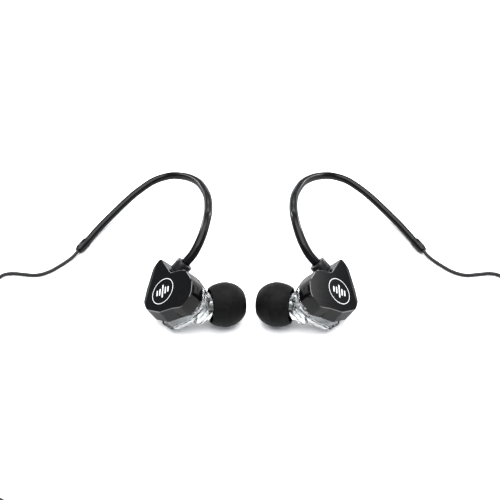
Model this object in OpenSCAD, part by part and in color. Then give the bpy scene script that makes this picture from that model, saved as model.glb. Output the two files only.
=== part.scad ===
// Pair of in-ear monitors with detachable over-ear cables, lying on a table.
// Millimetres, +Z up. The left earpiece lies at negative X and the right one is its mirror image.
// The origin is on the table, under the middle of the earpieces and ear hooks.

/* [Earpiece] */
// Depth of the black outer half behind its face
cap_depth = 5.0; // [4.6:0.1:5.6]
// Wall of the black outer half
cap_wall = 1.0; // [0.7:0.1:1.2]
// Thickness of the face behind the badge
face_t = 1.2; // [0.9:0.1:1.6]
// Wall of the clear inner half
shell_wall = 0.9; // [0.6:0.1:1.2]
// Outer diameter of the ring badge
badge_d = 8.8; // [7.6:0.2:9.6]
// Width of the badge's line
badge_line = 0.4; // [0.3:0.05:0.6]

/* [Nozzle and ear tip] */
// Outer diameter of the nozzle
nozzle_d = 4.6; // [4.2:0.1:4.8]
// Diameter of the sound bore
sound_bore_d = 3.0; // [2.4:0.1:3.2]
// Length of nozzle past the rim plane of the ear tip
nozzle_l = 4.5; // [4.0:0.1:5.0]
// Radial clearance between the nozzle's barb and the ear tip's bore
tip_clearance = 0.05; // [0.03:0.01:0.08]

/* [Connector] */
// Diameter of the connector barrel on the cable
barrel_d = 5.6; // [5.0:0.1:5.8]
// Length of the connector barrel
barrel_l = 3.9; // [3.4:0.1:4.4]
// Inside diameter of the coaxial socket
socket_bore_d = 3.0; // [2.8:0.1:3.1]

/* [Ear hook and cable] */
// Hook diameter at the connector
hook_d1 = 3.0; // [2.6:0.1:3.4]
// Hook diameter at its free end
hook_d2 = 2.6; // [2.2:0.1:2.8]
// Diameter of the sleeve on the hook's end
sleeve_d = 3.2; // [3.0:0.1:3.2]
// Diameter of each earpiece cable
cable_d = 1.2; // [1.0:0.1:1.2]
// Diameter of the main cable
main_d = 1.6; // [1.4:0.1:1.6]
// Columns of turns in the storage coil
coil_columns = 4; // [3:1:4]
// Layers of turns in the storage coil
coil_layers = 4; // [3:1:4]

/* [Stereo plug] */
// Diameter of the plug's pin
pin_d = 3.5; // [3.5:0.1:3.5]
// Length of the plug's pin
pin_l = 14.0; // [14:0.5:15]
// Diameter of the plug's housing
housing_d = 6.6; // [6.0:0.2:6.8]
// Length of the plug's housing
housing_l = 16.0; // [14:0.5:17]

/* [Hidden] */
$fn = 48;

// Colours
black = [0.03, 0.03, 0.035];
dark = [0.10, 0.10, 0.11];
clear = [0.85, 0.88, 0.90, 0.45];
silver = [0.75, 0.76, 0.78];
gold = [0.85, 0.68, 0.35];

// Where the left earpiece lies: the middle of its badge and the turn of its face.
// Its own frame has +Y along the connector, +Z out of the face, and the badge at the origin.
badge_at = [-27.4, -26.6, 12.23];
lay = [38, -10, -64];

// Connector, in the earpiece's frame
connector_x = -6.2;
connector_z = -4.2;
seat_y = 5.5;
flange_t = 0.5;
barrel_y = seat_y + flange_t + 0.1;
plug_end_y = barrel_y + barrel_l;
socket_r = 2.0;

// Ear tip, in the earpiece's frame: the middle of its rim, and its turn
tip_at = [7.3, 6.1, -12.2];
tip_turn = [0, 137, 73];
barb_r = nozzle_d / 2 + 0.3;

// Shell levels behind the face
split_z = -cap_depth;
wing_z = -7.3;
back_z = -12.0;

// Outlines in the earpiece's frame: x, y and corner radius
face_corners = [[-12.7, 1.2, 1.8], [-7.7, -4.9, 3], [-4.4, -7.7, 1.6], [0.0, -7.9, 2.5],
    [5.5, -4.6, 1.5], [8.7, -0.5, 2], [11.7, 2.4, 2.5], [11.4, 6.9, 3.5], [7.4, 9.9, 4],
    [0.9, 10.1, 3.5], [-3.4, seat_y, 0.9], [-12.2, seat_y, 1.0]];
lobe_front = [[-1.5, -7.4, 2.5], [1.6, -8.0, 2], [6.3, -5.7, 1.5], [9.4, -0.9, 2], [11.6, 2.6, 2.5],
    [11.3, 6.2, 3], [7.2, 8.4, 3], [1.4, 8.4, 3], [-2.8, 4.4, 3]];
lobe_back = [[-0.2, -5.0, 1.5], [5.5, -4.9, 1.5], [9.6, 1.6, 2], [9.4, 4.6, 2], [6.4, 6.2, 2],
    [2.2, 6.0, 2], [-0.6, 2.6, 2]];

// Ear tip profile: radius and height above the rim plane, outside and inside
tip_outside = [[5.7, 0], [6.5, 1.6], [7.05, 4.2], [6.85, 6.4], [5.9, 8.7], [4.2, 10.5], [2.6, 11.1]];
tip_inside = [[3.5, 7.4], [4.6, 7.9], [5.7, 6.8], [6.35, 4.2], [5.9, 1.7], [5.2, 0]];
tip_mouth_r = 2.0;
tip_core_r = 3.5;
tip_core_start = 0.4;

// Ear hook of the left side, on the table's axes, from the connector to the sleeve
hook_route = [[-18.5, -14.2, 16.0], [-16.7, -11.5, 18.0], [-15.3, -7.5, 19.5], [-14.3, -1, 20.0],
    [-14.2, 4.5, 19.2], [-14.8, 11, 18.0], [-16.3, 17.5, 16.0], [-18.8, 24, 14.0],
    [-22.3, 29, 12.0], [-25.8, 32.2, 10.3], [-29.5, 34, 9.0], [-32.9, 34.2, 8.0],
    [-35.9, 33.5, 7.2], [-38.5, 32, 6.5], [-42.7, 28.6, 5.2], [-46.1, 24.8, 4.2],
    [-49.3, 20.6, 3.3], [-52.7, 15.7, 2.5], [-55.3, 11.3, 2.0]];
sleeve_from = [-57.9, 6.4, 1.6];
sleeve_to = [-60.3, 1.8, 1.6];

// Earpiece cables, on the table's axes, from the sleeve to the splitter
low = cable_d / 2 + 0.05;
lane = 1.1;
left_route = [sleeve_to, [-61.5, -0.2, 1.1], [-63.4, -2.2, low], [-66, -5, low], [-68.5, -7.2, low],
    [-71.2, -8.6, low], [-74, -9, low], [-78, -8.5, low], [-81.5, -8.2, low], [-84.3, -9.1, low],
    [-85.8, -11.8, low], [-85.6, -16, low], [-83.6, -25, low], [-79.4, -40, low], [-75.5, -57, low],
    [-71.5, -73, low], [-69, -83, low], [-66.5, -87.9, low], [-61, -90, low], [-50, -90, low],
    [-34, -90, low], [-18, -90, low], [-6, -90, low], [-4.1, -90.8, low], [-3.3, -92.7, low],
    [-4.1, -94.55, 0.8], [-6, -95.35, 1.0], [-9, -95.35, lane], [-20, -95.35, lane], [-36, -95.35, lane], [-52, -95.35, lane]];
right_route = [[60.3, 1.8, 1.6], [61.5, -0.2, 1.1], [63.4, -2.2, low], [66, -5, low], [68.5, -7.2, low],
    [71.2, -8.6, low], [74, -9, low], [78, -8.5, low], [81.5, -8.2, low], [84.3, -9.1, low],
    [85.8, -11.8, low], [85.6, -16, low], [83.6, -25, low], [79.4, -40, low], [75.5, -57, low],
    [71.5, -73, low], [68.5, -86, low], [64, -93.5, low], [56, -96.6, low], [40, -96.75, low],
    [20, -96.75, low], [4, -96.75, low], [-8, -96.75, lane], [-30, -96.75, lane], [-52, -96.75, lane]];
pair_y = -96.05;

// Splitter, slider, storage coil and plug on the table
splitter_x = [-63, -52];
slider_x = [-50, -42];
coil_at = [-82, -84.5];
coil_floor = 0.5;
coil_in_r = 4 * main_d;
coil_out_r = coil_in_r + (coil_columns - 1) * main_d;
coil_h = coil_layers * main_d;
main_z = coil_floor + main_d / 2;
main_route = [[-63, pair_y, main_z], [-68, -96, main_z], [-75, -95.8, main_z],
    [-82, coil_at[1] - coil_out_r, main_z]];
plug_x = -89.5;
plug_z = housing_d / 2;
boot_l = 10;
boot_y = -67;
housing_y = boot_y + boot_l;
pin_y = housing_y + housing_l;
jack_route = [[coil_at[0] - coil_out_r, coil_at[1], coil_floor + coil_h - main_d / 2],
    [-93.0, -80, 5.8], [-91.6, -75, 4.6], [-90.2, -71, 3.7], [plug_x, boot_y, plug_z]];

// ---- outline helpers ----
function unit(v) = v / norm(v);
function wrap(list, i) = list[(i + len(list)) % len(list)];
function flat(p) = [p[0], p[1]];

// Points of the arc that rounds corner p between its neighbours
function corner(a, p, b, r, steps) =
    let(u = unit(a - p), v = unit(b - p), half = acos(u * v) / 2, c = p + unit(u + v) * r / sin(half),
        s = p + u * r / tan(half) - c, e = p + v * r / tan(half) - c, sweep = 180 - 2 * half)
    [for (k = [0 : steps]) c + (s * sin((1 - k / steps) * sweep) + e * sin(k / steps * sweep)) / sin(sweep)];

function rounded(pts, steps = 6) = [for (i = [0 : len(pts) - 1])
    each corner(flat(wrap(pts, i - 1)), flat(pts[i]), flat(wrap(pts, i + 1)), pts[i][2], steps)];

function side_normal(a, b) = let(d = unit(b - a)) [-d[1], d[0]];
function turn_of(a, p, b) = (p[0] - a[0]) * (b[1] - p[1]) - (p[1] - a[1]) * (b[0] - p[0]);

// The same corners moved inwards by d
function inset(pts, d) = [for (i = [0 : len(pts) - 1])
    let(a = flat(wrap(pts, i - 1)), p = flat(pts[i]), b = flat(wrap(pts, i + 1)),
        m = side_normal(a, p), n = side_normal(p, b), q = p + (m + n) * d / (1 + m * n),
        r = turn_of(a, p, b) > 0 ? max(pts[i][2] - d, 0.3) : pts[i][2] + d)
    [q[0], q[1], r]];

// Catmull-Rom curve through the points, with n steps between each pair
function blend(a, b, c, d, t) = 0.5 * ((2 * b) + (c - a) * t + (2 * a - 5 * b + 4 * c - d) * t * t
    + (3 * b - a - 3 * c + d) * t * t * t);
function curve(p, n) = let(e = len(p) - 1) [for (i = [0 : e - 1], k = [0 : n - 1])
    blend(p[max(i - 1, 0)], p[i], p[i + 1], p[min(i + 2, e)], k / n), p[e]];

// ---- building blocks ----
module prism(pts, z0, z1) translate([0, 0, z0]) linear_extrude(z1 - z0) polygon(pts);

module rod(a, b, r, r2) {
    d = b - a;
    translate(a) rotate([0, acos(d[2] / norm(d)), atan2(d[1], d[0])])
        cylinder(r1 = r, r2 = is_undef(r2) ? r : r2, h = norm(d));
}

// Tube swept along points, its rings turned without twist, r from r1 to r2
function tangent(p, i) = unit(p[min(i + 1, len(p) - 1)] - p[max(i - 1, 0)]);
function carry(side, t) = unit(side - t * (side * t));
function sides(p, i, side) = let(s = carry(side, tangent(p, i)))
    i == len(p) - 1 ? [s] : concat([s], sides(p, i + 1, s));
module tube(p, r1, r2, n) {
    e = len(p) - 1;
    s = sides(p, 0, [0.1, 0.2, 0.97]);
    rings = [for (i = [0 : e]) let(w = cross(tangent(p, i), s[i]), r = r1 + (r2 - r1) * i / e)
        for (k = [0 : n - 1]) p[i] + (s[i] * cos(k * 360 / n) + w * sin(k * 360 / n)) * r];
    walls = [for (i = [0 : e - 1], k = [0 : n - 1])
        let(a = i * n + k, b = i * n + (k + 1) % n) each [[a, a + n, b + n], [a, b + n, b]]];
    caps = [[for (k = [0 : n - 1]) k], [for (k = [n - 1 : -1 : 0]) e * n + k]];
    polyhedron(rings, concat(walls, caps));
}

// Moves a left earpiece piece from its own frame to the table
module laid() translate(badge_at) rotate(lay) children();
module mirrored() mirror([1, 0, 0]) children();

// Cylinder on the connector's axis, from y0 to y1
module on_connector(r, y0, y1) translate([connector_x, y0, connector_z])
    rotate([-90, 0, 0]) cylinder(r = r, h = y1 - y0);
module ring_on_connector(r_out, r_in, y0, y1) difference() {
    on_connector(r_out, y0, y1);
    on_connector(r_in, y0 - 1, y1 + 1);
}
// Cylinder on the nozzle's axis, from s0 to s1 past the tip's rim plane
module on_nozzle() translate(tip_at) rotate(tip_turn) children();
module nozzle_rod(r, s0, s1) on_nozzle() translate([0, 0, s0]) cylinder(r = r, h = s1 - s0);

// ---- earpiece ----
module faceplate() color(black) laid() difference() {
    prism(rounded(face_corners), split_z, 0);
    prism(rounded(inset(face_corners, cap_wall)), split_z - 1, -face_t);
    on_connector(socket_r, 0, seat_y + 1);
    translate([0, 0, -0.15]) cylinder(d = badge_d, h = 1);
}

// Ring with five sound bars inside it, inlaid flush with the face
module badge() color(silver) laid() {
    difference() {
        translate([0, 0, -0.15]) cylinder(d = badge_d, h = 0.15);
        translate([0, 0, -1]) cylinder(d = badge_d - 2 * badge_line, h = 2);
    }
    for (i = [-2 : 2]) {
        bar_h = [4.6, 2.4, 3.6][abs(i)] - (abs(i) == 2 ? 1.6 : 0);
        translate([i * 1.15 - 0.28, -bar_h / 2, -0.15]) cube([0.56, bar_h, 0.15]);
    }
}

module lobe(front, back, z0, z1, z2) hull() {
    prism(rounded(front), z1, z0);
    prism(rounded(back), z2, z2 + 0.4);
}

module inner_shell() color(clear) laid() difference() {
    union() {
        difference() {
            union() {
                prism(rounded(inset(face_corners, 0.15)), wing_z, split_z);
                lobe(lobe_front, lobe_back, wing_z + 0.3, wing_z - 1.2, back_z);
            }
            prism(rounded(inset(face_corners, 0.15 + shell_wall)), wing_z + shell_wall, split_z + 1);
            lobe(inset(lobe_front, shell_wall), inset(lobe_back, shell_wall),
                wing_z + 1.5, wing_z - 1.2, back_z + shell_wall);
        }
        nozzle_rod(nozzle_d / 2, -4.0, nozzle_l);
        nozzle_rod(barb_r, nozzle_l - 0.9, nozzle_l);
    }
    nozzle_rod(sound_bore_d / 2, -6, nozzle_l + 1);
    on_connector(socket_r, 0, seat_y + 1);
}

module nozzle_screen() color(silver) laid() difference() {
    nozzle_rod(sound_bore_d / 2, nozzle_l - 0.5, nozzle_l - 0.3);
    on_nozzle() for (k = [0 : 5]) rotate(k * 60) translate([0.85, 0, nozzle_l - 1])
        cylinder(r = 0.25, h = 1.5);
}

module socket() color(gold) laid() difference() {
    union() {
        on_connector(socket_r, 1.2, seat_y);
        on_connector(socket_r + 0.4, seat_y, seat_y + flange_t);
    }
    on_connector(socket_bore_d / 2, 0, barrel_y);
}
module socket_insulator() color("white") laid()
    ring_on_connector(socket_bore_d / 2, 0.55, 1.2, 2.4);
module socket_contact() color(gold) laid() difference() {
    on_connector(0.55, 0.6, 3.4);
    on_connector(0.35, 1.0, 4);
}

driver_at = [4.0, 2.3, 0];
driver_r = 4.0;
module driver_frame() color(silver) laid() translate(driver_at) difference() {
    translate([0, 0, -5.0]) cylinder(r = driver_r, h = 3.2);
    translate([0, 0, -4.4]) cylinder(r = driver_r - 0.4, h = 4);
    translate([0, 0, -6]) cylinder(r = 1.2, h = 3);
}
module driver_magnet() color(dark) laid() translate(driver_at) difference() {
    translate([0, 0, -4.4]) cylinder(r = 3.0, h = 1.4);
    translate([0, 0, -6]) cylinder(r = 1.2, h = 5);
}
module driver_diaphragm() color([0.85, 0.80, 0.65]) laid() translate([driver_at[0], driver_at[1], -2.5])
    rotate_extrude() polygon([[0, 0.35], [1.2, 0.25], [1.8, 0], [2.2, -0.3], [2.3, -0.3], [2.4, 0.05],
        [3.2, 0.3], [driver_r - 0.4, 0.1], [driver_r - 0.4, 0.2], [3.2, 0.4], [2.3, 0.15], [1.2, 0.35],
        [0, 0.45]]);
module armature_driver() color(silver) laid() translate([3.2, 0.2, -8.2]) rotate([0, 0, 20]) {
    translate([-2.6, -1.4, -1.0]) cube([5.2, 2.8, 2.0]);
    translate([2.6, 0, 0]) rotate([0, 90, 0]) cylinder(r = 0.5, h = 0.7);
}
module crossover_board() color([0.05, 0.25, 0.12]) laid() {
    translate([-5.6, -4.2, -3.6]) cube([4.2, 3.4, 0.6]);
    translate([-5.0, -3.6, -3.0]) cube([1.0, 0.6, 0.4]);
    translate([-3.2, -2.4, -3.0]) cube([0.8, 1.2, 0.5]);
}
module lead_wires() color([0.75, 0.35, 0.15]) laid() {
    rod([connector_x, 0.6, connector_z], [-5.0, -0.8, -3.3], 0.15);
    rod([-1.4, -2.0, -3.2], [0.6, -0.2, -3.4], 0.15);
    rod([-1.6, -3.4, -3.6], [0.6, -1.6, -7.4], 0.15);
}
module sound_tube() color([0.8, 0.8, 0.75, 0.6]) laid() difference() {
    nozzle_rod(sound_bore_d / 2, -3.6, nozzle_l - 2.4);
    nozzle_rod(1.0, -6, nozzle_l);
}

module ear_tip() color(dark) laid() on_nozzle() rotate_extrude($fn = 72) {
    bore_r = barb_r + tip_clearance;
    polygon(concat([[bore_r, tip_core_start]], [[tip_core_r, tip_core_start]], curve(tip_inside, 4),
        curve(tip_outside, 5), [[tip_mouth_r, 11.0], [tip_mouth_r, nozzle_l + 0.4],
        [bore_r, nozzle_l + 0.1]]));
}

// ---- connector on the cable ----
ring_y = seat_y - 2.1;
module snap_ring() color(gold) laid() difference() {
    ring_on_connector(1.45, 1.15, ring_y, ring_y + 0.4);
    translate([connector_x - 0.15, ring_y - 1, connector_z]) cube([0.3, 3, 3]);
}
module plug_barrel() color(dark) laid() difference() {
    union() {
        on_connector(barrel_d / 2, barrel_y, plug_end_y);
        on_connector(1.3, ring_y + 0.45, barrel_y);
        on_connector(1.1, ring_y - 0.1, ring_y + 0.5);
        on_connector(1.3, ring_y - 0.7, ring_y - 0.05);
    }
    on_connector(0.9, 2, barrel_y + 2);
}
module plug_insulator() color("white") laid() ring_on_connector(0.9, 0.3, seat_y - 1.7, barrel_y + 2);
module plug_pin() color(gold) laid() on_connector(0.3, 1.8, barrel_y + 2);

// ---- ear hook and its sleeve ----
function turned(v) = let(c = [for (a = lay) cos(a)], s = [for (a = lay) sin(a)],
    x = [v[0], v[1] * c[0] - v[2] * s[0], v[1] * s[0] + v[2] * c[0]],
    y = [x[0] * c[1] + x[2] * s[1], x[1], x[2] * c[1] - x[0] * s[1]])
    [y[0] * c[2] - y[1] * s[2], y[0] * s[2] + y[1] * c[2], y[2]];
plug_end = badge_at + turned([connector_x, plug_end_y, connector_z]);
plug_axis = turned([0, 1, 0]);
hook_points = concat([plug_end, plug_end + 0.8 * plug_axis], curve(hook_route, 2),
    [sleeve_from + 0.9 * unit(sleeve_from - sleeve_to), sleeve_from]);
module ear_hook() color(black) tube(hook_points, hook_d1 / 2, hook_d2 / 2, 12);
module hook_sleeve() color(black) rod(sleeve_from, sleeve_to, sleeve_d / 2);

// ---- cables ----
module earpiece_cable(route) color(dark) tube(curve(route, 2), cable_d / 2, cable_d / 2, 8);
module main_lead() color(dark) tube(curve(main_route, 2), main_d / 2, main_d / 2, 8);
module jack_lead() color(dark) tube(curve(jack_route, 2), main_d / 2, main_d / 2, 8);
module coil() color(dark) translate([coil_at[0], coil_at[1], coil_floor]) rotate_extrude($fn = 96)
    translate([coil_in_r - main_d / 2, 0]) square([coil_columns * main_d, coil_h]);
module tie() color(black) translate([coil_at[0], coil_at[1], 0]) rotate(30) rotate_extrude(angle = 24, $fn = 96)
    difference() {
        translate([coil_in_r - main_d / 2 - 0.5, 0]) square([coil_columns * main_d + 1, coil_h + 1]);
        translate([coil_in_r - main_d / 2, coil_floor]) square([coil_columns * main_d, coil_h]);
    }

// Flat oval bar along X with two or three cable bores
module oval_bar(x, w, h) translate([x[0], pair_y, h / 2]) rotate([90, 0, 90])
    linear_extrude(x[1] - x[0]) polygon(rounded([[-w / 2, -h / 2, 0.8], [w / 2, -h / 2, 0.8],
        [w / 2, h / 2, 0.8], [-w / 2, h / 2, 0.8]]));
module splitter() color(black) oval_bar(splitter_x, 4.6, 2.6);
module slider() color(black) difference() {
    oval_bar(slider_x, 4.6, 2.4);
    for (s = [-0.7, 0.7]) translate([slider_x[0] - 1, pair_y + s, lane]) rotate([0, 90, 0])
        cylinder(d = cable_d + 0.1, h = 12);
}

// ---- stereo plug, its axis along Y ----
module on_plug(r1, r2, y0, y1) translate([plug_x, y0, plug_z]) rotate([-90, 0, 0])
    cylinder(r1 = r1, r2 = r2, h = y1 - y0);
collar_l = 1.0;
sleeve_l = 7.6;
ring_l = 1.6;
gap_l = 0.6;
post_r = 0.8;
sleeve_y = pin_y + sleeve_l;
band_y = sleeve_y + gap_l;
tip_y = band_y + ring_l + gap_l;
end_y = pin_y + pin_l;
module plug_boot() color(black) on_plug(main_d / 2 + 0.25, housing_d / 2 - 0.6, boot_y, housing_y);
module plug_housing() color(dark) on_plug(housing_d / 2, housing_d / 2, housing_y, pin_y);
module plug_sleeve() color(gold) difference() {
    union() {
        on_plug(pin_d / 2, pin_d / 2, pin_y + collar_l, sleeve_y);
        on_plug(2.5, 2.5, pin_y, pin_y + collar_l);
    }
    on_plug(post_r, post_r, pin_y - 1, end_y);
}
module plug_band() color(gold) difference() {
    on_plug(pin_d / 2, pin_d / 2, band_y, band_y + ring_l);
    on_plug(post_r, post_r, pin_y, end_y);
}
module plug_tip() color(gold) {
    on_plug(post_r, post_r, pin_y, tip_y);
    on_plug(pin_d / 2, pin_d / 2, tip_y, tip_y + 0.8);
    on_plug(1.2, 1.7, tip_y + 0.8, tip_y + 1.8);
    on_plug(1.7, 0.5, tip_y + 1.8, end_y);
}
module plug_insulators() color(dark) difference() {
    for (y = [sleeve_y, band_y + ring_l]) on_plug(pin_d / 2, pin_d / 2, y, y + gap_l);
    on_plug(post_r, post_r, pin_y, end_y);
}

// ---- left side ----
faceplate();  // left_faceplate
badge();  // left_badge
inner_shell();  // left_inner_shell
nozzle_screen();  // left_nozzle_screen
socket();  // left_socket
socket_insulator();  // left_socket_insulator
socket_contact();  // left_socket_contact
driver_frame();  // left_driver_frame
driver_magnet();  // left_driver_magnet
driver_diaphragm();  // left_driver_diaphragm
armature_driver();  // left_armature_driver
crossover_board();  // left_crossover_board
lead_wires();  // left_lead_wires
sound_tube();  // left_sound_tube
ear_tip();  // left_ear_tip
snap_ring();  // left_snap_ring
plug_barrel();  // left_plug_barrel
plug_pin();  // left_plug_pin
plug_insulator();  // left_plug_insulator
ear_hook();  // left_ear_hook
hook_sleeve();  // left_hook_sleeve
earpiece_cable(left_route);  // left_cable
// ---- right side ----
mirrored() faceplate();  // right_faceplate
mirrored() badge();  // right_badge
mirrored() inner_shell();  // right_inner_shell
mirrored() nozzle_screen();  // right_nozzle_screen
mirrored() socket();  // right_socket
mirrored() socket_insulator();  // right_socket_insulator
mirrored() socket_contact();  // right_socket_contact
mirrored() driver_frame();  // right_driver_frame
mirrored() driver_magnet();  // right_driver_magnet
mirrored() driver_diaphragm();  // right_driver_diaphragm
mirrored() armature_driver();  // right_armature_driver
mirrored() crossover_board();  // right_crossover_board
mirrored() lead_wires();  // right_lead_wires
mirrored() sound_tube();  // right_sound_tube
mirrored() ear_tip();  // right_ear_tip
mirrored() snap_ring();  // right_snap_ring
mirrored() plug_barrel();  // right_plug_barrel
mirrored() plug_pin();  // right_plug_pin
mirrored() plug_insulator();  // right_plug_insulator
mirrored() ear_hook();  // right_ear_hook
mirrored() hook_sleeve();  // right_hook_sleeve
earpiece_cable(right_route);  // right_cable
// ---- shared cable, splitter and plug ----
slider();  // chin_slider
splitter();  // y_splitter
main_lead();  // main_cable
coil();  // cable_coil
tie();  // cable_tie
jack_lead();  // jack_cable
plug_boot();  // jack_boot
plug_housing();  // jack_housing
plug_sleeve();  // jack_sleeve
plug_band();  // jack_ring
plug_tip();  // jack_tip
plug_insulators();  // jack_insulators
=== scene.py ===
# %% [markdown]
# Pair of in-ear monitors with over-ear cables, lying on a pale table.
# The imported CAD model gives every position. This lesson adds the camera, the cords, the visible
# shells, tips and hooks at full detail, and a finish for every part, inside ones included.

# %% Load the frame
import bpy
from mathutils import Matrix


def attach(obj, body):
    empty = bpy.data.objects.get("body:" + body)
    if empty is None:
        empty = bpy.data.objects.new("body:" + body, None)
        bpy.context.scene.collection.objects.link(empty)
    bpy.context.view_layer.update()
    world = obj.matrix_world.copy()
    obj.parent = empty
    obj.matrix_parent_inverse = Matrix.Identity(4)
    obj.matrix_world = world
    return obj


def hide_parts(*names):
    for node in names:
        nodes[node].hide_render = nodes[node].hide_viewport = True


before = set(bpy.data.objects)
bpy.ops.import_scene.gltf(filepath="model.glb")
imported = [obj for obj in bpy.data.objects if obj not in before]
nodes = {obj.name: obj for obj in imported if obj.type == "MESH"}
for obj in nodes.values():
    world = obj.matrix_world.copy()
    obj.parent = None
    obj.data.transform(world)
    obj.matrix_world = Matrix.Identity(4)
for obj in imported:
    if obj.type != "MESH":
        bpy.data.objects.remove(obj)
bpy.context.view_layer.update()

import math
import bpy
import bmesh
from mathutils import Euler, Matrix, Vector

MM = 0.001
SIDES = {"left": Matrix.Identity(4), "right": Matrix.Scale(-1, 4, (1, 0, 0))}

# %% [markdown]
# The camera looks down at the pair at 45 degrees from about a quarter of a metre, as a product
# shot does. A short distance keeps the ear hooks' tops smaller than the earpieces in front.

# %% Camera
camera = bpy.data.cameras.new("camera")
camera.sensor_width = 36
camera.lens = 51.05
camera.clip_start = 0.005
camera_object = bpy.data.objects.new("camera", camera)
camera_object.location = (-0.0003, -0.17308, 0.17678)
camera_object.rotation_euler = (math.radians(45), 0, 0)
bpy.context.scene.collection.objects.link(camera_object)
bpy.context.scene.camera = camera_object
print("camera at", tuple(camera_object.location))

# %% [markdown]
# Every new piece is a mesh, shaped at its own simple place in millimetres and then moved to
# where the CAD says. A mirror move turns a mesh inside out, so its faces are flipped
# back. Smooth shading stops at sharp edges, so flat faces stay flat. The right side is always
# the left one's mirror image, so each piece is shaped once and placed twice.


# %% Placing and finishing a mesh
def matrix_of(*angles_xyz, at=(0, 0, 0)):
    turn = Euler([math.radians(a) for a in angles_xyz], "XYZ").to_matrix().to_4x4()
    return Matrix.Translation(at) @ turn


TOLERANCE = 0.0005    # millimetres within which two points count as one
TO_METRES = Matrix.Scale(MM, 4)
LAID = TO_METRES @ matrix_of(38, -10, -64, at=(-27.4, -26.6, 12.23))
CONNECTOR = LAID @ matrix_of(-90, 0, 0, at=(-6.2, 0, -4.2))
NOZZLE = LAID @ matrix_of(0, 137, 73, at=(7.3, 6.1, -12.2))


def finish_mesh(bm, name, place, sharp=35):
    bmesh.ops.remove_doubles(bm, verts=bm.verts[:], dist=TOLERANCE)
    bmesh.ops.recalc_face_normals(bm, faces=bm.faces[:])
    bmesh.ops.transform(bm, matrix=place, verts=bm.verts[:])
    if place.determinant() < 0:
        bmesh.ops.reverse_faces(bm, faces=bm.faces[:])
    mesh = bpy.data.meshes.new(name)
    bm.to_mesh(mesh)
    bm.free()
    mesh.shade_smooth()
    mesh.set_sharp_from_angle(angle=math.radians(sharp))
    piece = bpy.data.objects.new(name, mesh)
    bpy.context.scene.collection.objects.link(piece)
    return piece


def lathe(name, profile, place, steps=64, sharp=35):
    """A turned part: the profile's (radius, height) pairs spun round Z."""
    bm = bmesh.new()
    verts = [bm.verts.new((r, 0, h)) for r, h in profile]
    edges = [bm.edges.new(pair) for pair in zip(verts, verts[1:])]
    if profile[0][0] > 0:
        edges.append(bm.edges.new((verts[-1], verts[0])))
    bmesh.ops.spin(bm, geom=verts + edges, cent=(0, 0, 0), axis=(0, 0, 1), angle=2 * math.pi,
                   steps=steps, use_merge=True)
    return finish_mesh(bm, name, place, sharp)


print("left earpiece's place, mm:", [round(x / MM, 2) for x in LAID.to_translation()])


# %% [markdown]
# A cord is one smooth curve through a few chosen points. The points are the ones that the CAD
# cable follows, in millimetres, and a Catmull-Rom curve joins them without corners. A curve
# with a round bevel gives an even tube, and a radius on each point lets a tube taper. The tube
# is then made a mesh like every other piece.


# %% Curves and tubes
def smooth_line(points, steps):
    """A Catmull-Rom curve through the points, as a list of closely spaced ones."""
    line = []
    last = len(points) - 1
    for i in range(last):
        a, b, c, d = (Vector(points[min(max(k, 0), last)]) for k in range(i - 1, i + 3))
        for k in range(steps):
            t = k / steps
            line.append(0.5 * (2 * b + (c - a) * t + (2 * a - 5 * b + 4 * c - d) * t * t
                               + (3 * b - a - 3 * c + d) * t * t * t))
    return line + [Vector(points[-1])]


def line_length(line):
    return sum((b - a).length for a, b in zip(line, line[1:]))


def make_tube(name, line, diameter, end_diameter=None, place=TO_METRES):
    """A round tube along a line in millimetres, tapered when an end diameter is given."""
    curve = bpy.data.curves.new(name, "CURVE")
    curve.dimensions = "3D"
    curve.bevel_depth = diameter / 2
    curve.bevel_resolution = 6
    curve.use_fill_caps = True
    spline = curve.splines.new("POLY")
    spline.points.add(len(line) - 1)
    taper = (end_diameter or diameter) / diameter - 1
    for k, (point, spot) in enumerate(zip(spline.points, line)):
        point.co = (*spot, 1)
        point.radius = 1 + taper * k / (len(line) - 1)
    guide = bpy.data.objects.new(name, curve)
    bm = bmesh.new()
    bm.from_mesh(guide.to_mesh())
    guide.to_mesh_clear()
    bpy.data.objects.remove(guide)
    return finish_mesh(bm, name, place, sharp=50)


# %% [markdown]
# The two earpiece cords are thin and limp. Each leaves the sleeve on its ear hook, drops to the
# table, runs out of the view and comes round in front, where the pair lies side by side through
# the chin slider and into the splitter.

# %% Earpiece cords
CORD_D = 1.2
LOW = CORD_D / 2 + 0.05    # the middle of a cord that lies on the table
LANE = 1.1                 # the middle of a cord inside the slider and the splitter
LEFT_ROUTE = [
    (-60.3, 1.8, 1.6), (-61.5, -0.2, 1.1), (-63.4, -2.2, LOW), (-66, -5, LOW), (-68.5, -7.2, LOW),
    (-71.2, -8.6, LOW), (-74, -9, LOW), (-78, -8.5, LOW), (-81.5, -8.2, LOW), (-84.3, -9.1, LOW),
    (-85.8, -11.8, LOW), (-85.6, -16, LOW), (-83.6, -25, LOW), (-79.4, -40, LOW),
    (-75.5, -57, LOW), (-71.5, -73, LOW), (-69, -83, LOW), (-66.5, -87.9, LOW), (-61, -90, LOW),
    (-50, -90, LOW), (-34, -90, LOW), (-18, -90, LOW), (-6, -90, LOW), (-4.1, -90.8, LOW),
    (-3.3, -92.7, LOW), (-4.1, -94.55, 0.8), (-6, -95.35, 1.0), (-9, -95.35, LANE),
    (-20, -95.35, LANE), (-36, -95.35, LANE), (-52, -95.35, LANE)]
RIGHT_ROUTE = [(-x, y, z) for x, y, z in LEFT_ROUTE[:16]] + [
    (68.5, -86, LOW), (64, -93.5, LOW), (56, -96.6, LOW), (40, -96.75, LOW), (20, -96.75, LOW),
    (4, -96.75, LOW), (-8, -96.75, LANE), (-30, -96.75, LANE), (-52, -96.75, LANE)]
left_line = smooth_line(LEFT_ROUTE, 5)
right_line = smooth_line(RIGHT_ROUTE, 5)
left_cord = make_tube("left_cord", left_line, CORD_D)
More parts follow.
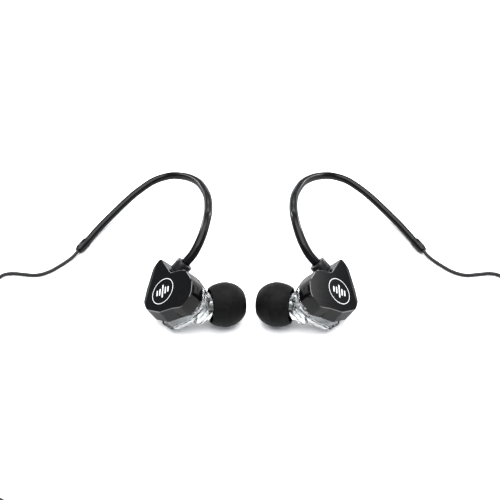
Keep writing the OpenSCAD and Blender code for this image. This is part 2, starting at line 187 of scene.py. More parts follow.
right_cord = make_tube("right_cord", right_line, CORD_D)
print("earpiece cords, mm:", line_length(left_line), line_length(right_line))

# %% [markdown]
# The main cord is stored in a neat coil. A real coil is wound layer on layer: the strand steps
# one column over in each turn and climbs one layer at the last column. The steps of each layer
# come a little earlier in the turn than those of the layer below, so no strand meets another.

# %% Main cord with its coil
MAIN_D = 1.6
COIL_AT = (-82, -84.5)
COIL_INNER_R = 4 * MAIN_D
COIL_Z = 1.3
COIL_TURN_END = 15 * 360 + 90
ANGLE_STEP = 15
STEP_SPAN = 70
STEP_LAG = 31
FIRST_STEP = 268
LAYERS = 4
COLUMNS = 4


def coil_steps():
    """The angle at which each step starts, with its change of column and of layer."""
    steps = []
    for layer in range(LAYERS):
        start = FIRST_STEP - 2 * layer * STEP_LAG
        inward = -1 if layer % 2 == 0 else 1
        for k in range(COLUMNS - 1):
            steps.append((start + 360 * (layer * COLUMNS + k), inward, 0))
        if layer < LAYERS - 1:
            steps.append((start - STEP_LAG + 360 * (layer * COLUMNS + COLUMNS - 1), 0, 1))
    return steps


def ease(t):
    t = min(max(t, 0), 1)
    return (1 - math.cos(math.pi * t)) / 2


def coil_point(angle, steps):
    column = COLUMNS - 1 + sum(c * ease((angle - a) / STEP_SPAN) for a, c, _ in steps)
    layer = sum(up * ease((angle - a) / STEP_SPAN) for a, _, up in steps)
    r = COIL_INNER_R + column * MAIN_D
    turn = math.radians(-90 - angle)
    return Vector((COIL_AT[0] + r * math.cos(turn), COIL_AT[1] + r * math.sin(turn),
                   COIL_Z + layer * MAIN_D))


MAIN_ROUTE = [(-63, -96.05, COIL_Z), (-68, -96, COIL_Z), (-75, -95.8, COIL_Z),
              (-82, -95.7, COIL_Z)]
JACK_ROUTE = [(-93.2, -84.5, 6.1), (-93, -80, 5.8), (-91.6, -75, 4.6), (-90.2, -71, 3.7),
              (-89.5, -67, 3.3)]
winding = [coil_point(a, coil_steps()) for a in range(0, COIL_TURN_END + 1, ANGLE_STEP)]
main_line = smooth_line(MAIN_ROUTE, 6)[:-1] + winding + smooth_line(JACK_ROUTE, 6)[1:]
main_cord = make_tube("main_cord", main_line, MAIN_D)
print("main cord, mm:", line_length(main_line), "turns:", COIL_TURN_END / 360)

# %% [markdown]
# The black outer half is a moulded cap with a many-cornered outline. Its corners are rounded by
# a vertex bevel, each by its own radius. The same rounded outline, seen as a distance in each
# direction from a middle point, later gives the rings of the clear half.

# %% Outlines
SEAT_Y = 5.5
FACE = [(-12.7, 1.2, 1.8), (-7.7, -4.9, 3), (-4.4, -7.7, 1.6), (0, -7.9, 2.5), (5.5, -4.6, 1.5),
        (8.7, -0.5, 2), (11.7, 2.4, 2.5), (11.4, 6.9, 3.5), (7.4, 9.9, 4), (0.9, 10.1, 3.5),
        (-3.4, SEAT_Y, 0.9), (-12.2, SEAT_Y, 1)]
LOBE_FRONT = [(-1.5, -7.4, 2.5), (1.8, -8.7, 2), (6.9, -7, 1.5), (10, -1.7, 2), (11.6, 2.6, 2.5),
              (11.3, 6.2, 3), (7.2, 8.4, 3), (1.4, 8.4, 3), (-2.8, 4.4, 3)]
LOBE_BACK = [(-0.2, -5, 1.5), (5.9, -5.5, 1.5), (9.6, 1.6, 2), (9.4, 4.6, 2), (6.4, 6.2, 2),
             (2.2, 6, 2), (-0.6, 2.6, 2)]


def outline_face(bm, corners, segments=8):
    """A flat face with each corner rounded by its own radius."""
    verts = [bm.verts.new((x, y, 0)) for x, y, _ in corners]
    bm.faces.new(verts)
    count = len(corners)
    for k, vert in enumerate(verts):
        here, before, after = (Vector(corners[i % count][:2]) for i in (k, k - 1, k + 1))
        half = (before - here).angle(after - here) / 2
        bmesh.ops.bevel(bm, geom=[vert], affect="VERTICES", segments=segments, profile=0.5,
                        offset=corners[k][2] / math.tan(half), material=-1)
    return bm.faces[:]


def reach_of(corners, directions, middle):
    """How far the rounded outline is from the middle, in each direction."""
    bm = bmesh.new()
    loop = [v.co.to_2d() - middle for v in outline_face(bm, corners)[0].verts]
    bm.free()
    found = []
    for angle in directions:
        ray = Vector((math.cos(angle), math.sin(angle)))
        best = 0
        for a, b in zip(loop, loop[1:] + loop[:1]):
            edge = b - a
            across = ray.cross(edge)
            if abs(across) > 1e-9 and -1e-6 <= a.cross(ray) / across <= 1 + 1e-6:
                best = max(best, a.cross(edge) / across)
        found.append(best)
    return found


print("outline corners:", len(FACE), len(LOBE_FRONT), len(LOBE_BACK))

# %% [markdown]
# The cap starts as the rounded outline, pushed back to its depth. At the back its lower wall
# flares out a little, by an amount that eases in along the downward direction. A tilted cut takes
# the shallow facet off its outer edge, and a narrow bevel runs round the rim. The bevel's faces
# are known by their slant and get the second material, so the rim can shine as a thin line.
# With the back removed, Solidify gives the hollow cap its wall.

# %% Cap
CAP_DEPTH = 5
FACET_EDGE = (Vector((-12.7, 1.2, 0)), Vector((-5.4, -6.9, 0)))
FACET_WIDTH = 2.2
FACET_DROP = 0.6
DOWN = Vector((0.561, -0.828, 0))
FLARE = 1.25
FLARE_FROM = 3.5
FLARE_EASE = 2.5
RIM_BEVEL = 0.32
RIM_SLANTS = (0.3, 0.93)    # the upward share of a bevel face's normal
CAP_WALL = 0.95


def tilted_cut(bm, point, normal):
    """Cuts off what lies beyond a plane and closes the cut with a flat face."""
    cut = bmesh.ops.bisect_plane(bm, geom=bm.verts[:] + bm.edges[:] + bm.faces[:],
                                 dist=TOLERANCE, plane_co=point, plane_no=normal,
                                 clear_outer=True)
    rim = [e for e in cut["geom_cut"] if isinstance(e, bmesh.types.BMEdge)]
    bmesh.ops.contextual_create(bm, geom=rim)


def flare_back(bm, verts):
    """Pushes the lower part of the cap's back outward, with a smooth start."""
    for vert in verts:
        share = min(max((vert.co.dot(DOWN) - FLARE_FROM) / FLARE_EASE, 0), 1)
        bmesh.ops.translate(bm, vec=DOWN * FLARE * share * share * (3 - 2 * share), verts=[vert])


def cut_facet(bm):
    along = (FACET_EDGE[1] - FACET_EDGE[0]).normalized()
    inward = Vector((-along.y, along.x, 0))
    across = (inward * FACET_WIDTH + Vector((0, 0, FACET_DROP))).normalized()
    outward = along.cross(across)
    if outward.z < 0:
        outward = -outward
    tilted_cut(bm, FACET_EDGE[0] + inward * FACET_WIDTH, outward)


def make_cap(side):
    bm = bmesh.new()
    back = bmesh.ops.extrude_face_region(bm, geom=outline_face(bm, FACE))
    moved = [v for v in back["geom"] if isinstance(v, bmesh.types.BMVert)]
    bmesh.ops.translate(bm, vec=(0, 0, -CAP_DEPTH), verts=moved)
    flare_back(bm, moved)
    cut_facet(bm)
    bmesh.ops.recalc_face_normals(bm, faces=bm.faces[:])
    rim = [e for e in bm.edges if e.calc_face_angle(0) > 0.6
           and any(f.normal.z > 0.5 for f in e.link_faces)]
    bmesh.ops.bevel(bm, geom=rim, affect="EDGES", offset=RIM_BEVEL, segments=3, profile=0.5,
                    material=-1)
    backs = [f for f in bm.faces
             if f.normal.z < -0.9 and f.calc_center_median().z < -CAP_DEPTH + 0.1]
    bmesh.ops.delete(bm, geom=backs, context="FACES_ONLY")
    for face in bm.faces:
        if RIM_SLANTS[0] < face.normal.z < RIM_SLANTS[1]:
            face.material_index = 1
    cap = finish_mesh(bm, f"{side}_cap", SIDES[side] @ LAID, sharp=28)
    wall = cap.modifiers.new("wall", "SOLIDIFY")
    wall.thickness = CAP_WALL * MM
    wall.offset = -1
    even = cap.modifiers.new("even_shading", "WEIGHTED_NORMAL")
    even.keep_sharp = True
    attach(cap, f"{side}_earpiece")
    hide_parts(f"{side}_faceplate")
    return cap


caps = {side: make_cap(side) for side in SIDES}
print("cap faces:", len(caps["left"].data.polygons))

# %% [markdown]
# The badge is a thin printed ring with a sign in it. The sign here is a plain one for sound:
# five rounded bars, tall in the middle. Ring and bars stand a few hundredths of a millimetre
# proud, as a thick print does.

# %% Badge
BADGE_R = 4.4
LINE_W = 0.2
PROUD = 0.04
SUNK = 0.1
BAR_W = 0.5
SIGN_TURN = 57
BAR_PITCH = 1.15
BAR_HEIGHTS = (2.0, 2.4, 4.6, 2.4, 2.0)


def make_badge(side):
    place = SIDES[side] @ LAID
    inner_r = BADGE_R - LINE_W
    ring = lathe(f"{side}_badge_ring", [
        (BADGE_R, -SUNK), (BADGE_R, PROUD - 0.01), (BADGE_R - 0.03, PROUD),
        (inner_r + 0.03, PROUD), (inner_r, PROUD - 0.01), (inner_r, -SUNK)], place, 96)
    bm = bmesh.new()
    for k, height in enumerate(BAR_HEIGHTS):
        at = Matrix.Translation(((k - 2) * BAR_PITCH, 0, PROUD / 2 - SUNK / 2))
        size = Matrix.Diagonal((BAR_W, height, PROUD + SUNK, 1))
        bar = bmesh.ops.create_cube(bm, size=1, matrix=at @ size)
        uprights = [e for v in bar["verts"] if v.co.z > 0 for e in v.link_edges
                    if abs((e.verts[0].co - e.verts[1].co).z) > SUNK / 2]
        bmesh.ops.bevel(bm, geom=uprights, affect="EDGES", offset=BAR_W * 0.48, segments=5,
                        profile=0.5, material=-1)
    sign = finish_mesh(bm, f"{side}_badge_sign",
                       place @ Matrix.Rotation(math.radians(SIGN_TURN), 4, "Z"))
    for piece in (ring, sign):
        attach(piece, f"{side}_earpiece")
        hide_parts(f"{side}_badge")
    return [ring, sign]


badges = [piece for side in SIDES for piece in make_badge(side)]
print("badge pieces:", len(badges))

# %% [markdown]
# The inner half is clear plastic that fills the ear's bowl: a flat wing under the cap, then a
# rounded lobe that narrows to its back. It is lofted: rings of equal count are bridged one to
# the next, and the last is closed. Every ring lies between two outlines, so a row of the table
# gives its height, the two outlines, how far it is towards the second and how much smaller it
# is. Solidify makes it a hollow shell of 0.9 mm. The nozzle is turned, with a barb for the tip.

# %% Clear shell
RING_POINTS = 120
MIDDLE = Vector((2.5, 1.2))
SHELL_WALL = 0.9
LOW_WING_INSET = 0.9
LOBE_MARGIN = 0.05
RINGS = [    # height, from which outline, to which, how far, how much smaller
    (-5.03, "wing", "wing", 0, 0.15), (-6.5, "wing", "wing", 0, 0.15),
    (-7.0, "wing", "wing", 0, 0.35), (-7.25, "low_wing", "front", 0, 0),
    (-7.4, "low_wing", "front", 0.75, 0), (-7.8, "front", "back", 0, 0),
    (-8.7, "front", "back", 0.06, 0), (-9.6, "front", "back", 0.33, 0),
    (-10.5, "front", "back", 0.62, 0), (-11.2, "front", "back", 0.86, 0.05),
    (-11.65, "back", "back", 0, 0.2), (-11.9, "back", "back", 0, 0.7),
    (-12.0, "back", "back", 0, 1.5)]
NOZZLE_PROFILE = [
    (1.5, -5.0), (5.2, -5.0), (5.6, -4.0), (5.3, -2.6), (4.8, -1.2), (4.1, -0.3), (3.2, 0.15),
    (2.45, 0.3), (2.3, 0.5), (2.3, 3.5), (2.42, 3.62), (2.6, 3.8), (2.6, 4.15), (2.45, 4.42),
    (2.3, 4.5), (1.6, 4.5), (1.5, 4.4)]


def make_shell(side):
    directions = [2 * math.pi * k / RING_POINTS for k in range(RING_POINTS)]
    reach = {name: reach_of(corners, directions, MIDDLE)
             for name, corners in (("wing", FACE), ("front", LOBE_FRONT), ("back", LOBE_BACK))}
    reach["low_wing"] = [max(w - LOW_WING_INSET, f + LOBE_MARGIN)
                         for w, f in zip(reach["wing"], reach["front"])]
    bm = bmesh.new()
    loops = []
    for z, first, second, share, less in RINGS:
        verts = []
        for angle, a, b in zip(directions, reach[first], reach[second]):
            r = a * (1 - share) + b * share - less
            verts.append(bm.verts.new((MIDDLE.x + r * math.cos(angle),
                                       MIDDLE.y + r * math.sin(angle), z)))
        loops.append([bm.edges.new(pair) for pair in zip(verts, verts[1:] + verts[:1])])
    for upper, lower in zip(loops, loops[1:]):
        bmesh.ops.bridge_loops(bm, edges=upper + lower)
    bmesh.ops.contextual_create(bm, geom=loops[-1])
    shell = finish_mesh(bm, f"{side}_clear_shell", SIDES[side] @ LAID, sharp=30)
    wall = shell.modifiers.new("wall", "SOLIDIFY")
    wall.thickness = SHELL_WALL * MM
    wall.offset = -1
    nozzle = lathe(f"{side}_nozzle", NOZZLE_PROFILE, SIDES[side] @ NOZZLE, 48)
    for piece in (shell, nozzle):
        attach(piece, f"{side}_earpiece")
        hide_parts(f"{side}_inner_shell")
    return [shell, nozzle]


clear_parts = [piece for side in SIDES for piece in make_shell(side)]
print("clear pieces:", len(clear_parts))

# %% [markdown]
# The ear tip is a hollow silicone dome. It has one profile, outside and inside, so it is turned
# on its nozzle's axis. A fine raised line shows where the two halves of the mould met.

# %% Ear tips
TIP_OUTSIDE = [(5.7, 0), (6.5, 1.6), (7.05, 4.2), (6.85, 6.4), (5.9, 8.7), (4.2, 10.5),
               (2.6, 11.1)]
TIP_INSIDE = [(3.5, 7.4), (4.6, 7.9), (5.7, 6.8), (6.35, 4.2), (5.9, 1.7), (5.2, 0)]
TIP_MOUTH = [(2.25, 11.08), (2.05, 10.95), (2.0, 10.7), (2.0, 4.9), (2.65, 4.6)]
MOULD_LINE_AT = 5.6
MOULD_LINE_H = 0.035


def flat_line(points, steps):
    return [(p.x, p.z) for p in smooth_line([(r, 0, h) for r, h in points], steps)]


def make_tip(side):
    outside = flat_line(TIP_OUTSIDE, 7)
    above = next(k for k, (_, h) in enumerate(outside) if h > MOULD_LINE_AT)
    r = outside[above][0]
    outside[above:above] = [(r + 0.06, MOULD_LINE_AT - 0.07),
                            (r + 0.06 + MOULD_LINE_H, MOULD_LINE_AT),
                            (r + 0.05, MOULD_LINE_AT + 0.07)]
    inside = [(2.65, 0.4), (3.5, 0.4)] + flat_line(TIP_INSIDE, 5)
    skirt = [(5.45, -0.06)]
    tip = lathe(f"{side}_tip_dome", inside + skirt + outside + TIP_MOUTH, SIDES[side] @ NOZZLE,
                96, 50)
    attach(tip, f"{side}_tip")
    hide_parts(f"{side}_ear_tip")
    return tip


tips = [make_tip(side) for side in SIDES]
print("tip faces:", len(tips[0].data.polygons))

# %% [markdown]
# The connector's barrel is a turned grip with chamfered ends and two shallow grooves. Its nose
# reaches into the socket and carries the snap ring, so the profile keeps that groove.

# %% Connector barrels
BARREL_R = 2.8
BARREL_START = 6.1
BARREL_END = 10.0
RING_AT = 3.4
GROOVES_AT = (1.1, 1.95)
GROOVE_DEPTH = 0.12


def make_barrel(side):
    r, a, b = BARREL_R, BARREL_START, BARREL_END
    nose = [(0.9, RING_AT - 0.7), (1.2, RING_AT - 0.7), (1.3, RING_AT - 0.6),
            (1.3, RING_AT - 0.06), (1.1, RING_AT - 0.06), (1.1, RING_AT + 0.46),
            (1.3, RING_AT + 0.46), (1.3, a)]
    grip = [(r - 0.35, a), (r - 0.1, a + 0.1), (r, a + 0.35)]
    for groove in GROOVES_AT:
        low = r - GROOVE_DEPTH
        grip += [(r, a + groove), (low, a + groove + 0.1), (low, a + groove + 0.25),
                 (r, a + groove + 0.35)]
    end = [(r, b - 0.4), (r - 0.1, b - 0.12), (r - 0.35, b), (1.7, b), (1.6, b - 0.15),
           (0.9, b - 0.15)]
    barrel = lathe(f"{side}_barrel", nose + grip + end, SIDES[side] @ CONNECTOR, 72, 30)
    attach(barrel, "harness")
    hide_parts(f"{side}_plug_barrel")
    return barrel


barrels = [make_barrel(side) for side in SIDES]
print("barrel faces:", len(barrels[0].data.polygons))

# %% [markdown]
# The ear hook is a glossy tube that tapers from 3.0 to 2.6 mm. It starts straight out of the
# barrel, passes over the ear and ends in a short sleeve where the cord comes out.

# %% Ear hooks
HOOK_D = 3.0
HOOK_END_D = 2.6
HOOK_ROUTE = [
    (-18.5, -14.2, 16), (-16.7, -11.5, 18), (-15.3, -7.5, 19.5), (-14.3, -1, 20),
    (-14.2, 4.5, 19.2), (-14.8, 11, 18), (-16.3, 17.5, 16), (-18.8, 24, 14), (-22.3, 29, 12),
    (-25.8, 32.2, 10.3), (-29.5, 34, 9), (-32.9, 34.2, 8), (-35.9, 33.5, 7.2), (-38.5, 32, 6.5),
    (-42.7, 28.6, 5.2), (-46.1, 24.8, 4.2), (-49.3, 20.6, 3.3), (-52.7, 15.7, 2.5),
    (-55.3, 11.3, 2)]
SLEEVE_FROM = Vector((-57.9, 6.4, 1.6))
SLEEVE_TO = Vector((-60.3, 1.8, 1.6))
plug_end = (CONNECTOR @ Vector((0, 0, BARREL_END))) / MM
plug_axis = (CONNECTOR.to_3x3() @ Vector((0, 0, 1))).normalized()
sleeve_axis = (SLEEVE_TO - SLEEVE_FROM).normalized()
hook_points = ([plug_end, plug_end + 0.8 * plug_axis] + HOOK_ROUTE
               + [SLEEVE_FROM - 0.9 * sleeve_axis, SLEEVE_FROM])
hook_line = [plug_end - 0.12 * plug_axis] + smooth_line(hook_points, 6)


def make_hook(side):
    hook = make_tube(f"{side}_hook_tube", hook_line, HOOK_D, HOOK_END_D, SIDES[side] @ TO_METRES)
    length = (SLEEVE_TO - SLEEVE_FROM).length
    turn = sleeve_axis.to_track_quat("Z", "Y").to_matrix().to_4x4()
    sleeve = lathe(f"{side}_hook_end", [
        (0.0, 0.0), (1.45, 0.0), (1.58, 0.12), (1.6, 0.3), (1.6, 1.3), (1.5, 1.4), (1.5, 1.55),
        (1.6, 1.65), (1.6, length - 1.6), (1.42, length - 0.9), (1.2, length - 0.2),
        (1.1, length), (0.0, length)],
        SIDES[side] @ TO_METRES @ Matrix.Translation(SLEEVE_FROM) @ turn, 48)
    for piece, node in ((hook, "ear_hook"), (sleeve, "hook_sleeve")):
        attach(piece, "harness")
        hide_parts(f"{side}_{node}")
    return hook, sleeve


hooks, sleeves = zip(*(make_hook(side) for side in SIDES))
print("hook length, mm:", line_length(hook_line))

# %% [markdown]
# The slider and the splitter are small moulded bars. Each starts as a cube, scaled to size, with
# two widths of bevel: a wide one along its length and a narrow one round its ends. Both have
# grip grooves: plane cuts add rings of points, and the middle ones move inward. The splitter
# also narrows towards the main cord.

# %% Slider and splitter
PAIR_Y = -96.05    # the middle line of the two cords where they lie side by side
BAR_WIDTH = 4.6
END_BEVEL = 0.28
GROOVE_HALF = 0.22
BAR_GROOVE_DEPTH = 0.12
SIDES_FROM = 1.6    # how far from the middle line a point counts as on a side
TOP_FROM = 2.0      # how high it counts as on the top


def make_bar(x0, x1, width, height, narrow=1.0):
    bm = bmesh.new()
    middle = Matrix.Translation(((x0 + x1) / 2, PAIR_Y, height / 2))
    bmesh.ops.create_cube(bm, size=1, matrix=middle @ Matrix.Diagonal((x1 - x0, width, height, 1)))
    for v in bm.verts:
        if v.co.x < (x0 + x1) / 2:
            v.co.y = PAIR_Y + (v.co.y - PAIR_Y) * narrow
    sides = [e for e in bm.edges if abs((e.verts[0].co - e.verts[1].co).x) > (x1 - x0) * 0.9]
    bmesh.ops.bevel(bm, geom=sides, affect="EDGES", offset=height * 0.36, segments=5, profile=0.5,
                    material=-1)
    ends = [f for f in bm.faces if abs(f.normal.x) > 0.9]
    bmesh.ops.bevel(bm, geom=[e for f in ends for e in f.edges], affect="EDGES",
                    offset=END_BEVEL, segments=3, profile=0.5, material=-1)
    return bm


def cut_grooves(bm, places):
    """Shallow grooves over the top and down both sides, one at each place along X."""
    for x in places:
        for offset in (-1, -0.4, 0.4, 1):
            bmesh.ops.bisect_plane(bm, geom=bm.verts[:] + bm.edges[:] + bm.faces[:],
                                   dist=TOLERANCE, plane_co=(x + offset * GROOVE_HALF, 0, 0),
                                   plane_no=(1, 0, 0))
        for v in bm.verts:
            if abs(v.co.x - x) < GROOVE_HALF * 0.6:
                if abs(v.co.y - PAIR_Y) > SIDES_FROM:
                    v.co.y -= math.copysign(BAR_GROOVE_DEPTH, v.co.y - PAIR_Y)
                if v.co.z > TOP_FROM:
                    v.co.z -= BAR_GROOVE_DEPTH
    return bm


slider_bar = cut_grooves(make_bar(-50, -42, BAR_WIDTH, 2.4), (-48, -47, -46, -45, -44))
splitter_bar = cut_grooves(make_bar(-63, -52, BAR_WIDTH, 2.6, 0.72), (-61, -60.2, -59.4))
slider = finish_mesh(slider_bar, "slider_body", TO_METRES)
splitter = finish_mesh(splitter_bar, "splitter_body", TO_METRES)
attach(slider, "slider")
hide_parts("chin_slider")
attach(splitter, "harness")
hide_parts("y_splitter")
print("slider faces:", len(slider.data.polygons), "splitter:", len(splitter.data.polygons))

# %% [markdown]
# The coil is held by a strap. Its section is a frame round the coil's own square section: two
# rectangular loops bridged into one flat face, spun a short way round the coil's axis.

# %% Coil tie
STRAP_INSIDE = (5.58, 12.02, 0.48, 6.92)    # nearest and furthest radius, lowest and highest
STRAP_OUTSIDE = (5.12, 12.48, 0.02, 7.38)
STRAP_SPAN = 22
STRAP_TURN = 31
bm = bmesh.new()
loops = []
for near, far, low, high in (STRAP_INSIDE, STRAP_OUTSIDE):
    corners = [bm.verts.new((r, 0, h))
               for r, h in ((near, low), (far, low), (far, high), (near, high))]
    loops.append([bm.edges.new(pair) for pair in zip(corners, corners[1:] + corners[:1])])
section = bmesh.ops.bridge_loops(bm, edges=loops[0] + loops[1])["faces"]
bmesh.ops.spin(bm, geom=section, cent=(0, 0, 0), axis=(0, 0, 1),
               angle=math.radians(STRAP_SPAN), steps=8)
bmesh.ops.recalc_face_normals(bm, faces=bm.faces[:])
sharp_edges = [e for e in bm.edges if e.calc_face_angle(0) > 1.0]
bmesh.ops.bevel(bm, geom=sharp_edges, affect="EDGES", offset=0.12, segments=2, profile=0.5,
                material=-1)
tie = finish_mesh(bm, "coil_strap", TO_METRES @ matrix_of(0, 0, STRAP_TURN, at=(*COIL_AT, 0)))
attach(tie, "harness")
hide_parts("cable_tie")
print("strap faces:", len(tie.data.polygons))

# %% [markdown]
# The plug's boot has ribs, so it bends without a kink, and the housing is a turned aluminium
# sleeve with fine grooves round one end. Both are turned, from profiles that a loop repeats for
# each rib and groove. The contacts keep their CAD shapes.

# %% Plug boot and housing
PLUG_AXIS = TO_METRES @ matrix_of(-90, 0, 0, at=(-89.5, 0, 3.3))
RIB_PITCH = 1.6
RIB_GROWTH = 0.28
GROOVE_PITCH = 0.8
boot_profile = [(0.0, -67.0), (1.0, -67.0)]
for k in range(5):
    start = -66.8 + k * RIB_PITCH
    r = 1.1 + k * RIB_GROWTH
    boot_profile += [(r, start), (r + 0.16, start + 0.2), (r + 0.2, start + 0.95),
                     (r + 0.02, start + 1.1), (r + 0.02, start + 1.5)]
boot_profile += [(2.45, -58.6), (2.7, -58.2), (2.7, -57.0), (0.0, -57.0)]
boot = lathe("plug_boot", boot_profile, PLUG_AXIS, 48)
housing_profile = [(0.0, -57.0), (2.9, -57.0), (3.2, -56.8), (3.3, -56.5), (3.3, -53.4)]
for k in range(6):
    start = -53.4 + k * GROOVE_PITCH
    housing_profile += [(3.18, start + 0.12), (3.18, start + 0.3), (3.3, start + 0.42)]
housing_profile += [(3.3, -42.4), (3.18, -41.5), (2.9, -41.0), (0.0, -41.0)]
housing = lathe("plug_grip", housing_profile, PLUG_AXIS, 64)
for piece, node, finish in ((boot, "jack_boot", "moulding"), (housing, "jack_housing", "housing")):
    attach(piece, "harness")
    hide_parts(node)
print("plug pieces:", boot.name, housing.name)

# %% [markdown]
# Each cord hangs on the harness and stands for its CAD cables, which are hidden: the thin cords
# for the two earpiece cables, the main one for the main cable, its coil and the plug's cable.


for cord, replaced in ((left_cord, ["left_cable"]), (right_cord, ["right_cable"]),
                       (main_cord, ["main_cable", "cable_coil", "jack_cable"])):
    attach(cord, "harness")
    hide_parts(*replaced)

# %% [markdown]
# Finishes are made from nodes on Object coordinates, in metres, so a scale of a few thousand
# gives grain of a fraction of a millimetre. Each has a slight drift of colour and of gloss, and
# nearly all have a fine bump. What is the same all over is set on the shader's own sockets.


# %% Making a finish
BUMP_DEPTH = 0.00003


def make_finish(name, dark, light, rough=(0.3, 0.4), drift=600.0, grain=9000.0, bump=0.05,
                stretch=None, **constants):
    """A finish that drifts from dark to light; constants are set on the shader's sockets."""
    finish = bpy.data.materials.new(name)
    finish.use_nodes = True
    tree = finish.node_tree
    shader = tree.nodes["Principled BSDF"]
    where = tree.nodes.new("ShaderNodeTexCoord").outputs["Object"]
    if stretch:
        mapping = tree.nodes.new("ShaderNodeMapping")
        mapping.inputs["Scale"].default_value = stretch
        tree.links.new(where, mapping.inputs["Vector"])
        where = mapping.outputs["Vector"]

    def noise(scale, detail):
        node = tree.nodes.new("ShaderNodeTexNoise")
        node.inputs["Scale"].default_value = scale
        node.inputs["Detail"].default_value = detail
        tree.links.new(where, node.inputs["Vector"])
        return node.outputs["Fac"]

    ramp = tree.nodes.new("ShaderNodeValToRGB")
    for stop, position, color in zip(ramp.color_ramp.elements, (0.3, 0.7), (dark, light)):
        stop.position = position
        stop.color = (*color, 1)
    tree.links.new(noise(drift, 3), ramp.inputs["Fac"])
    tree.links.new(ramp.outputs["Color"], shader.inputs["Base Color"])
    gloss = tree.nodes.new("ShaderNodeMapRange")
    gloss.inputs["To Min"].default_value = rough[0]
    gloss.inputs["To Max"].default_value = rough[1]
    fine = noise(grain, 2)
    tree.links.new(fine, gloss.inputs["Value"])
    tree.links.new(gloss.outputs["Result"], shader.inputs["Roughness"])
    if bump:
        relief = tree.nodes.new("ShaderNodeBump")
        relief.inputs["Strength"].default_value = bump
        relief.inputs["Distance"].default_value = BUMP_DEPTH
        tree.links.new(fine, relief.inputs["Height"])
        tree.links.new(relief.outputs["Normal"], shader.inputs["Normal"])
    for socket, value in constants.items():
        shader.inputs[socket.replace("_", " ")].default_value = value
    return finish


def wear(piece, finish):
    piece.data.materials.clear()
    piece.data.materials.append(finish)


print("bump depth, m:", BUMP_DEPTH)


# %% [markdown]
# The black cap and the hook are glossy, with nearly no colour of their own. A surface that
# reflects as usual turns white at a slant over a pale floor, so their own reflection is off and
# a thin clear coat gives a dimmer one. The cap's rim has a polished edge that keeps the usual
# reflection, so it draws a bright line. The silicone tip is matt. The clear half is resin that
# lets light through and bends it.

# %% Finishes seen first
BLACK = (0.001, 0.001, 0.0012)
DARK = (0.002, 0.002, 0.0022)
gloss_black = make_finish("gloss_black_cap", BLACK, DARK, (0.13, 0.2), bump=0.02,
                          Specular_IOR_Level=0.0, Coat_Weight=0.28, Coat_Roughness=0.12)
polished_edge = make_finish("polished_edge", DARK, (0.004, 0.004, 0.0042), (0.1, 0.16),
                            bump=0.02, Specular_IOR_Level=0.8)
hook_black = make_finish("gloss_black_tube", BLACK, DARK, (0.2, 0.28), bump=0.01,
                         Specular_IOR_Level=0.0, Coat_Weight=0.3, Coat_Roughness=0.2)
silicone = make_finish("black_silicone", DARK, (0.005, 0.005, 0.0052), (0.5, 0.62),
                       bump=0.12, Specular_IOR_Level=0.05)
resin = make_finish("clear_resin", (0.90, 0.92, 0.93), (0.97, 0.98, 0.98), (0.02, 0.05),
                    bump=0.04, Transmission_Weight=1.0, IOR=1.46)
barrel_grey = make_finish("satin_grip", (0.004, 0.004, 0.0045), (0.008, 0.008, 0.0085),
                          (0.32, 0.42), bump=0.08, Specular_IOR_Level=0.0, Coat_Weight=0.5,
                          Coat_Roughness=0.3)
print_white = make_finish("pad_printed_white", (0.50, 0.51, 0.52), (0.60, 0.61, 0.62),
                          (0.35, 0.5), bump=0.05)
cord_black = make_finish("soft_cord_jacket", (0.005, 0.005, 0.0055), (0.010, 0.010, 0.0105),
                         (0.38, 0.5), bump=0.15, Specular_IOR_Level=0.2)
moulding = make_finish("moulded_trim", (0.008, 0.008, 0.009), (0.016, 0.016, 0.017),
                       (0.35, 0.48), bump=0.1, Specular_IOR_Level=0.25)
print("black, as red, green and blue:", BLACK)

# %% [markdown]
# The parts inside and the plug have their own finishes: steel drawn one way, gold plate, a
# green board, pale film on the diaphragm, white insulators and enamelled copper wire.

# %% Finishes inside and on the plug
brushed = make_finish("drawn_steel", (0.45, 0.46, 0.48), (0.70, 0.71, 0.73), (0.22, 0.4),
                      drift=3000, bump=0.1, stretch=(1, 1, 8), Metallic=1.0)
gold = make_finish("gold_plate", (0.80, 0.58, 0.24), (0.90, 0.70, 0.34), (0.12, 0.22),
                   bump=0.03, Metallic=1.0)
magnet = make_finish("sintered_magnet", (0.05, 0.05, 0.055), (0.10, 0.10, 0.105), (0.4, 0.6),
                     bump=0.2, Metallic=0.6)
film = make_finish("diaphragm_film", (0.62, 0.55, 0.38), (0.80, 0.74, 0.56), (0.25, 0.4),
                   bump=0.1)
board = make_finish("circuit_board", (0.01, 0.10, 0.04), (0.03, 0.22, 0.09), (0.3, 0.5),
                    drift=2500, bump=0.2)
copper = make_finish("enamelled_copper", (0.55, 0.20, 0.08), (0.75, 0.36, 0.16), (0.2, 0.35),
                     Metallic=0.8)
ptfe = make_finish("white_insulator", (0.78, 0.78, 0.75), (0.88, 0.88, 0.86), (0.35, 0.5))
tubing = make_finish("milky_tubing", (0.75, 0.75, 0.70), (0.88, 0.88, 0.85), (0.25, 0.4),
                     Transmission_Weight=0.4)
black_metal = make_finish("black_anodised", (0.018, 0.018, 0.020), (0.040, 0.040, 0.043),
                          (0.28, 0.4), bump=0.06, Metallic=0.7)
print("finishes:", len(bpy.data.materials))

# %% [markdown]
# Each new piece wears one finish. The caps are the exception: the faces of their rim carry
# index 1, so the polished edge is added second, after the gloss black.

# %% Finishes on the new pieces
for cap in caps.values():
    cap.data.materials.append(gloss_black)
    cap.data.materials.append(polished_edge)
for finish, pieces in (
        (print_white, badges), (resin, clear_parts), (silicone, tips), (barrel_grey, barrels),
        (hook_black, hooks + sleeves), (cord_black, (left_cord, right_cord, main_cord)),
        (moulding, (slider, splitter, tie, boot)), (black_metal, (housing,))):
    for piece in pieces:
        wear(piece, finish)
print("cap finishes:", [finish.name for finish in caps["left"].data.materials])

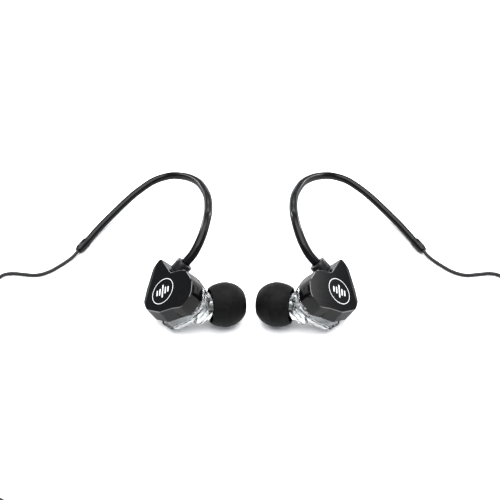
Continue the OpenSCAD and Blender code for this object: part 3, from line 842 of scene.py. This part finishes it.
# %% [markdown]
# A CAD part of an earpiece is named by its side and its kind, so one table serves both sides.
# The parts that the two sides share have a table of their own. Every CAD part gets its finish
# here, also one that a new piece stands for.

# %% Finishes on the CAD parts
SIDE_FINISHES = {
    gloss_black: ("faceplate",), print_white: ("badge",), resin: ("inner_shell",),
    brushed: ("nozzle_screen", "driver_frame", "armature_driver"), black_metal: ("socket",),
    ptfe: ("socket_insulator", "plug_insulator"),
    gold: ("socket_contact", "snap_ring", "plug_pin"), magnet: ("driver_magnet",),
    film: ("driver_diaphragm",), board: ("crossover_board",), copper: ("lead_wires",),
    tubing: ("sound_tube",), silicone: ("ear_tip",), barrel_grey: ("plug_barrel",),
    hook_black: ("ear_hook", "hook_sleeve"), cord_black: ("cable",)}
SHARED_FINISHES = {
    moulding: ("chin_slider", "y_splitter", "cable_tie", "jack_boot"),
    cord_black: ("main_cable", "cable_coil", "jack_cable"), black_metal: ("jack_housing",),
    gold: ("jack_sleeve", "jack_ring", "jack_tip"), magnet: ("jack_insulators",)}
finish_of = {name: finish for finish, names in SHARED_FINISHES.items() for name in names}
for finish, kinds in SIDE_FINISHES.items():
    finish_of.update({f"{side}_{kind}": finish for side in SIDES for kind in kinds})
for name, node in nodes.items():
    wear(node, finish_of[name])
print("CAD parts finished:", len(nodes))

# %% [markdown]
# A product shot on white: a pale floor, a broad soft light from above, and weak lights low
# behind, whose reflections run along the hooks and rims as soft highlights. The surroundings
# are dim, so the glossy black stays black. Every light aims at the origin, under the pair.

# %% Floor and light
bm = bmesh.new()
bmesh.ops.create_grid(bm, x_segments=1, y_segments=1, size=3)
floor = finish_mesh(bm, "floor", Matrix.Translation((0, 0, -0.00002)))
wear(floor, make_finish("pale_floor", (0.93, 0.93, 0.93), (0.95, 0.95, 0.95), (0.8, 0.9),
                        drift=3, grain=40, bump=0, Specular_IOR_Level=0.1))


def make_light(name, place, width, height, watts):
    light = bpy.data.lights.new(name, "AREA")
    light.shape = "RECTANGLE"
    light.size = width
    light.size_y = height
    light.energy = watts
    lamp = bpy.data.objects.new(name, light)
    lamp.location = place
    lamp.rotation_euler = (-Vector(place)).to_track_quat("-Z", "Y").to_euler()
    bpy.context.scene.collection.objects.link(lamp)


make_light("overhead_soft", (0, 0.1, 1.2), 1.6, 1.6, 52)
make_light("back_left_strip", (-0.72, 0.8, 0.24), 0.1, 0.5, 5)
make_light("back_right_strip", (0.72, 0.8, 0.24), 0.1, 0.5, 5)
make_light("back_strip", (0, 1.0, 0.5), 0.9, 0.12, 3.5)
make_light("right_fill", (1.1, 0.6, 0.45), 0.5, 0.3, 3)
world = bpy.data.worlds.new("studio")
bpy.context.scene.world = world
world.use_nodes = True
background = world.node_tree.nodes["Background"]
background.inputs["Color"].default_value = (0.9, 0.93, 1.0, 1)
background.inputs["Strength"].default_value = 0.6
bpy.context.scene.view_settings.view_transform = "Standard"
